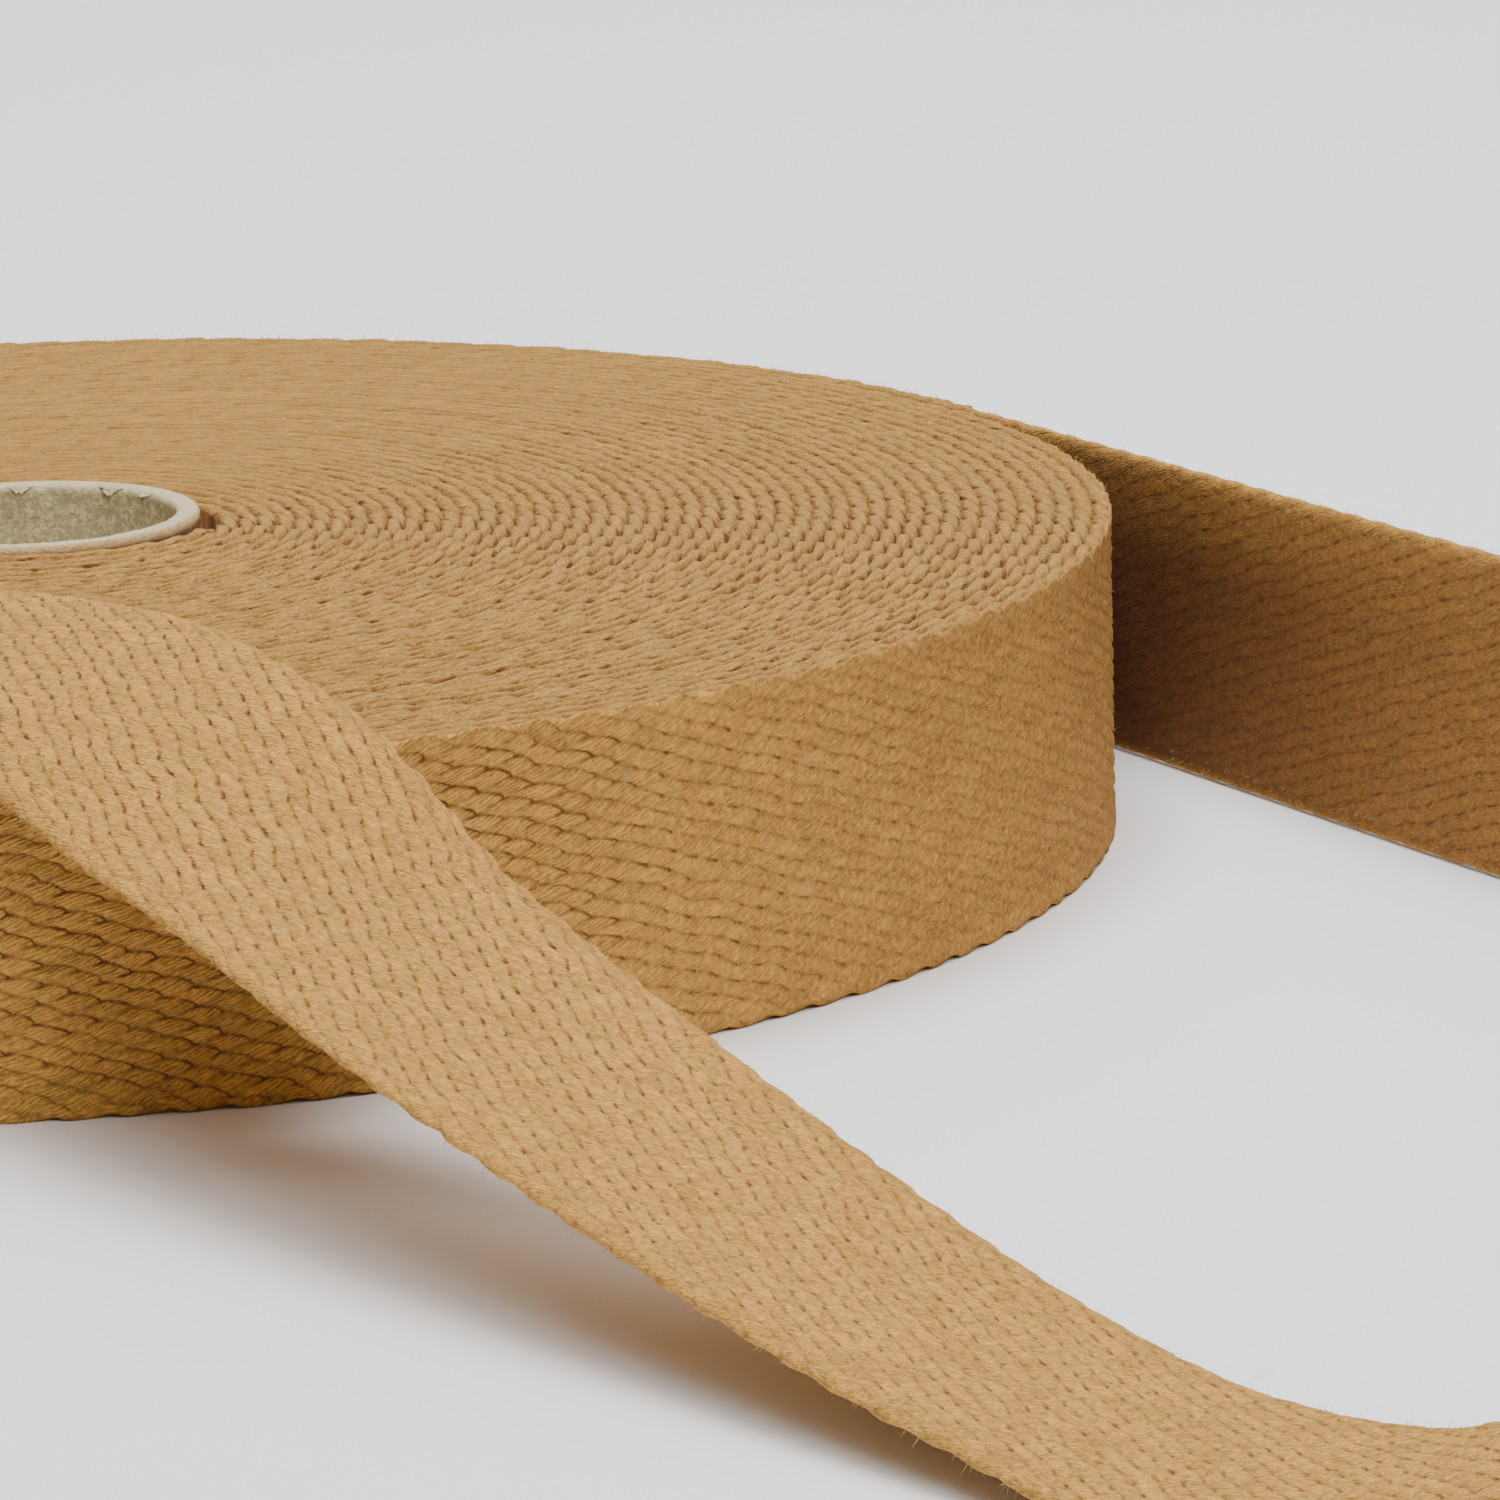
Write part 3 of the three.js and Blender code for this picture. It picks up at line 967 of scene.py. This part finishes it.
def woven_material():
    """Face of the web: twisted floats in a brick pattern, with painted shade in the seams where each ends and
    dives under the next, in the pits and in the floats' hollows.
    """
    g = Graph("cotton_woven")
    along = g.attribute("along")
    across = g.attribute("across")
    face = g.attribute("face")
    worn = g.attribute("worn")
    fresh = 1.0 - worn * 0.75
    inside = 1.0 - g.attribute("selvedge") * 0.55
    web = g.point(along, across, face)
    u = along / REPEAT_LONG + across / REPEAT_WIDE + g.noise(web, 0.7, 2.0) * 0.26
    v = along / REPEAT_LONG - across / REPEAT_WIDE + g.noise(web, 0.62, 2.0) * 0.26
    from_tip = g.math("FRACT", u + v)
    bow = g.math("POWER", from_tip, 0.6)
    bow_size = g.ramp(worn, CRISP_UP_TO, WORN_FROM, FLOAT_ARCH * 4, WORN_ARCH * 4)
    v = v + bow_size * bow * (1.0 - bow)
    chance = g.random(g.point(g.math("ROUND", u), g.math("ROUND", v), 1.0))
    to_u = g.wave(u) * 2.0
    to_v = g.wave(v) * 2.0
    crisp = g.ramp(worn, CRISP_UP_TO, WORN_FROM, 1.0, 0.35)
    fade = g.ramp(from_tip, 0.12, 0.86) * (1.18 - 0.63 * crisp)
    long_seam = g.ramp(to_v, 0.72, 0.97) * (1.0 - fade)
    near_tip = g.ramp(from_tip, 0.10, 0.85, 0.95, 0.10)
    short_seam = g.ramp(to_u, 0.72, 0.97) * near_tip * g.ramp(crisp, 0.4, 1.0)
    broken = g.ramp(g.noise(web, 0.45, 2.0), -0.16, 0.10, 0.40, 1.0)
    seam = g.math("MAXIMUM", long_seam, short_seam) * (0.5 + 0.5 * chance) * broken
    pit = g.ramp(to_u, 0.5, 0.95) * g.ramp(to_v, 0.55, 0.95) * (0.35 + 0.65 * chance)
    hollow = g.math("POWER", to_v, 2.4) * 0.6 + g.math("POWER", to_u, 3.0) * 0.4
    turned = g.math("SIGN", face) * PLY_SLOPE
    ply_place = (across + along * turned) / PLY_PITCH + chance * 7.0 + g.noise(web, 0.8, 2.0) * 1.4
    ply = g.math("SINE", ply_place * TAU) * g.ramp(to_u, 0.55, 0.98, 1.0, 0.2)
    stretched = g.point(along * 0.7, across * 2.6 + along * turned * 2.6, face + chance * 5.0)
    grain = g.noise(stretched, 1.1, 4.0, 0.65)
    fuzz = g.noise(g.position(), 1.3, 4.0, 0.75)
    wide = g.noise(g.position(), 0.035, 2.0)
    straws = g.fibres(along, across, PLY_SLOPE, face + chance * 9.0)
    straws = straws + g.fibres(along, across, -0.1, face + 7.0)
    detail = fresh * inside
    g.bump(0.0 - 0.26 * seam * detail - 0.20 * pit * detail - 0.10 * hollow * fresh
           + (0.05 + 0.04 * crisp) * ply * fresh + 0.46 * grain + 0.40 * fuzz + 0.06 * straws)
    # Painted shade in the seams, the pits and the hollows of the floats
    dark = (1.1 * seam + 0.50 * pit) * detail + 0.24 * hollow * fresh
    colour = g.mix(dark, cotton_tint(g, g.position(), COTTON_RED, COTTON_YELLOW), COTTON_CREASE_SHADE)
    colour = g.mix(0.18 * straws, colour, FIBRE_PALE)
    # Painted shade from the shade attribute: deep on the loose end's inner face by the roll, slight on the
    # last turn's worn side
    colour = g.mix(1.0 - g.attribute("shade"), colour, COTTON_SHADE)
    light = 1.14 + 0.20 * (chance - 0.5) + (0.10 + 0.10 * crisp) * ply * fresh + 0.14 * wide
    light = light + 1.7 * grain + (1.5 + 1.2 * worn) * fuzz
    return g.finish(g.shade(colour, g.math("MAXIMUM", light, 0.3)), 0.95, 0.12, FIBRE_TINT)


def wound_edge_material():
    """Edges of the wound turns: fuzzy knuckles like a laid rope, with painted shade in the dents where they
    meet, in the grooves by their walls and deep down between the turns.
    """
    g = Graph("cotton_edges")
    along = g.attribute("along")
    off = g.attribute("off")
    turn = g.math("FLOOR", g.attribute("turn"))
    fresh = 1.0 - g.attribute("worn") * 0.8
    place = g.position()
    phase = along / REPEAT_LONG - off / EDGE_WRAP + EDGE_PHASE + g.noise(place, 0.3, 2.0) * 0.35
    chance = g.random(g.point(g.math("ROUND", phase), turn, 1.0))
    dent = g.ramp(g.wave(phase) * 2.0, 0.58, 0.92)
    wall = g.math("ABSOLUTE", off)
    by_wall = g.ramp(wall, 0.2, 1.0)
    groove = g.ramp(wall, 0.60, 1.15)
    patchy = g.ramp(g.noise(place, 0.22, 2.0), -0.16, 0.12, 0.5, 1.0)
    dent = dent * (0.25 + 0.75 * by_wall) * (0.45 + 0.55 * chance) * patchy
    ply_place = (along * PLY_SLOPE - off) / PLY_PITCH + chance * 3.0 + g.noise(place, 0.8, 2.0) * 1.6
    ply = g.math("SINE", ply_place * TAU)
    strands = g.noise(g.point(along * 0.5, along * 1.0 - off * 2.4, turn * 3.1), 1.3, 4.0, 0.7)
    fuzz = g.noise(place, 1.5, 4.0, 0.8)
    wide = g.noise(place, 0.03, 2.0)
    straws = g.fibres(along, off, 0.35, turn * 3.1) + g.fibres(along, off, -0.3, turn * 3.1 + 1.5)
    g.bump(0.0 - 0.40 * dent * fresh - 0.14 * groove * fresh + 0.02 * ply * fresh
           + 0.44 * strands + 0.36 * fuzz + 0.06 * straws)
    middle = WEB_WIDTH / 2
    # Painted shade in the dents, in the grooves by the walls and deep down between the turns
    depth = middle - g.math("ABSOLUTE", g.height() - middle) + 1.3 * g.ramp(wall, 1.12, 1.18)
    dark = (1.70 * dent + 0.34 * groove * patchy) * fresh + 0.90 * g.ramp(depth, 1.4, 2.4)
    colour = g.mix(dark, cotton_tint(g, place, EDGE_RED, EDGE_YELLOW), EDGE_CREASE_SHADE)
    colour = g.mix(0.22 * straws, colour, FIBRE_PALE)
    tone = g.random(g.point(turn, 3.0, 5.0))
    light = 1.13 + 0.08 * (tone - 0.5) + 0.16 * (chance - 0.5) + 0.08 * ply * fresh
    light = light + (1.3 * strands + 2.2 * fuzz) * (0.30 + 0.70 * fresh) + 0.12 * wide
    return g.finish(g.shade(colour, g.math("MAXIMUM", light, 0.3)), 0.95, 0.12, FIBRE_TINT)


def fibre_material(name, colour):
    """Single fibres: speckled, and shifting in tint as the web does."""
    g = Graph(name)
    speck = g.noise(g.position(), 0.5, 3.0)
    yellower = (colour[0] * 0.97, colour[1] * 1.05, colour[2], 1)
    tint = cotton_tint(g, g.position(), colour, yellower)
    return g.finish(g.shade(tint, 1.0 + 0.8 * speck), 0.9, 0.1, FIBRE_TINT)


RIM_BOARD = (0.72, 0.61, 0.375, 1)
WALL_BOARD = (0.78, 0.65, 0.375, 1)
WALL_STAIN = (0.46, 0.36, 0.19, 1)
KRAFT = (0.72, 0.49, 0.23, 1)
KRAFT_CREASE_SHADE = (0.20, 0.085, 0.03, 1)
LINT = (0.74, 0.55, 0.31, 1)
BOARD_TINT = (1, 1, 1, 1)


def board_material():
    """The tube: kraft outside, a pale cut rim, greyer and fibrous inside."""
    g = Graph("board")
    part = g.attribute("part")
    place = g.position()
    blotch = g.noise(place, 0.25, 3.0)
    mottle = g.noise(place, 0.8, 4.0, 0.7)
    speckle = g.noise(place, 1.6, 5.0, 0.8)
    lint = g.ramp(g.noise(place, 0.9, 4.0, 0.7), 0.10, 0.26)
    # Painted shade on the kraft wall just above the turns, where it meets the web
    kraft = g.mix(g.ramp(g.height(), WEB_WIDTH + 0.15, WEB_WIDTH + 1.0), KRAFT_CREASE_SHADE, KRAFT)
    body = g.mix(g.ramp(part, 0.35, 0.65), kraft, RIM_BOARD)
    wall = g.mix(g.ramp(mottle, -0.08, 0.14, 0.55, 0.0), WALL_BOARD, WALL_STAIN)
    colour = g.mix(g.ramp(part, 1.35, 1.65), body, wall)
    colour = g.mix(lint * 0.45, colour, RIM_BOARD)
    g.bump(0.30 * speckle + 0.45 * mottle + 0.3 * blotch)
    light = 1.0 + 0.9 * speckle + 0.5 * mottle + 0.3 * blotch
    return g.finish(g.shade(colour, light), 0.92, 0.05, BOARD_TINT)


# The set

def place_camera(axis):
    camera = bpy.data.objects.new("camera", bpy.data.cameras.new("camera"))
    bpy.context.scene.collection.objects.link(camera)
    right = Vector((1, 0, 0))
    up = Vector((0, math.sin(CAMERA_PITCH), math.cos(CAMERA_PITCH)))
    forward = Vector((0, math.cos(CAMERA_PITCH), -math.sin(CAMERA_PITCH)))
    c = math.cos(CAMERA_ROLL)
    s = math.sin(CAMERA_ROLL)
    turned_right = right * c - up * s
    turned_up = right * s + up * c
    matrix = Matrix((turned_right, turned_up, -forward)).transposed().to_4x4()
    matrix.translation = Vector((CAMERA_X + axis[0], CAMERA_Y + axis[1], CAMERA_Z + axis[2])) * MM
    camera.matrix_world = matrix
    camera.data.sensor_width = SENSOR
    camera.data.lens = FOCAL_PIXELS / FRAME_PIXELS * SENSOR
    camera.data.clip_start = 0.01
    camera.data.clip_end = 50
    bpy.context.scene.camera = camera


def add_floor():
    """A pale floor, so large that its edge is out of sight."""
    size = 6.0
    mesh = bpy.data.meshes.new("floor")
    corners = [(-size, -size, 0), (size, -size, 0), (size, size, 0), (-size, size, 0)]
    mesh.from_pydata(corners, [], [(0, 1, 2, 3)])
    floor = bpy.data.objects.new("floor", mesh)
    bpy.context.scene.collection.objects.link(floor)
    material = bpy.data.materials.new("floor")
    material.use_nodes = True
    shader = material.node_tree.nodes["Principled BSDF"]
    shader.inputs["Base Color"].default_value = (0.95, 0.95, 0.95, 1)
    shader.inputs["Roughness"].default_value = 0.9
    shader.inputs["Specular IOR Level"].default_value = 0.1
    mesh.materials.append(material)


def add_light(name, place, target, size, power):
    light = bpy.data.lights.new(name, "AREA")
    light.shape = "SQUARE"
    light.size = size
    light.energy = power
    lamp = bpy.data.objects.new(name, light)
    bpy.context.scene.collection.objects.link(lamp)
    lamp.location = place
    lamp.rotation_euler = (Vector(target) - Vector(place)).to_track_quat("-Z", "Y").to_euler()


def add_world(strength):
    world = bpy.data.worlds.new("studio")
    world.use_nodes = True
    background = world.node_tree.nodes["Background"]
    background.inputs["Color"].default_value = (1, 1, 1, 1)
    background.inputs["Strength"].default_value = strength
    bpy.context.scene.world = world


def light_scene():
    """Soft light from the front and the right, from above, and on the floor behind, in metres and watts."""
    add_world(strength=0.24)
    add_light("key", place=(0.28, -0.95, 1.05), target=(0, 0, 0.02), size=0.8, power=13)
    add_light("top", place=(0.00, 0.15, 1.30), target=(0, 0, 0), size=0.7, power=19)
    add_light("rear", place=(0.10, 1.60, 1.20), target=(0.1, 1.4, 0), size=1.4, power=22)


# The whole scene

def dress(piece, materials, nodes):
    """Gives a piece its materials, and tells the frame what it rides on and what it replaces."""
    for material in materials:
        piece.data.materials.append(material)
    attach(piece, "root")
    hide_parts(*nodes)


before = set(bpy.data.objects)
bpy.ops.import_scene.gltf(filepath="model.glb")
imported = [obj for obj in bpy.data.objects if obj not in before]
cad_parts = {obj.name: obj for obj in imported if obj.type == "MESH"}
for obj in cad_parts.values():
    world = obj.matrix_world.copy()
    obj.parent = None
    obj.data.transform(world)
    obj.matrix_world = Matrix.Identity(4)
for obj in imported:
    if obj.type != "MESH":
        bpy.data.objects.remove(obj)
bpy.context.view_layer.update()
rng = np.random.default_rng(SEED)

# How far the weave strays along and across the web, which the functions above read
along_drift = Drift(rng, count=10, shortest=9.0, longest=60.0, size=0.55)
across_drift = Drift(rng, count=10, shortest=5.0, longest=45.0, size=0.17)

core_low, core_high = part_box("core")
roll_axis = np.array([(core_low[0] + core_high[0]) / 2, (core_low[1] + core_high[1]) / 2, 0]) / MM

place_camera(roll_axis)
add_floor()
light_scene()

woven = woven_material()
edges = wound_edge_material()
board = board_material()
fibre = fibre_material("cotton_fibre", FIBRE_PALE)
lint_look = fibre_material("lint", LINT)

loose_web, loose_length, loose, loose_edges, loose_front = build_loose_end(roll_axis)
dress(loose_web, [woven], ["loose_end"])

last_turn, last, last_rim = build_last_turn(roll_axis)
dress(last_turn, [woven, edges], ["wound_roll"])
outer_turns, outer, outer_top = build_turns("outer_turns", 1.0, TURNS_SPLIT, roll_axis)
dress(outer_turns, [edges], ["wound_roll"])
inner_turns, inner, inner_top = build_turns("inner_turns", TURNS_SPLIT, TURNS, roll_axis)
dress(inner_turns, [edges], ["wound_roll"])

fuzz_plan = [
    Patch(loose, loose_edges, 3800, stand),
    Patch(loose, loose_front, 2600, lie),
    Patch(last, last_rim, 3200, stand),
    Patch(last, ~last_rim, 2400, lie),
    Patch(outer, outer_top, 4300, lie),
    Patch(inner, inner_top, 1600, lie),
]
hair_plan = [
    Patch(loose, loose_edges, 26, stand),
    Patch(last, last_rim, 20, stand),
    Patch(outer, outer_top, 14, stand),
]
fuzz = plant_fibres("cotton_fuzz", fuzz_plan, FUZZ, rng)
dress(fuzz, [fibre], ["loose_end", "wound_roll"])
hairs = plant_fibres("stray_hairs", hair_plan, HAIR, rng)
dress(hairs, [fibre], ["loose_end", "wound_roll"])
threads = build_end_threads(loose[0], rng)
dress(threads, [fibre], ["loose_end"])
lint_spots = [on_top(55, 7, 0.7), on_top(97, -9, 0.6), on_side(-56, 31.6, 0.7), on_loose(745, -11, 1.0)]
lint = build_lint(lint_spots, roll_axis, rng)
dress(lint, [lint_look], ["loose_end", "wound_roll"])

core_tube = build_core(roll_axis, rng)
dress(core_tube, [board], ["core"])
flakes = build_lip_flakes(roll_axis, rng)
dress(flakes, [board], ["core"])
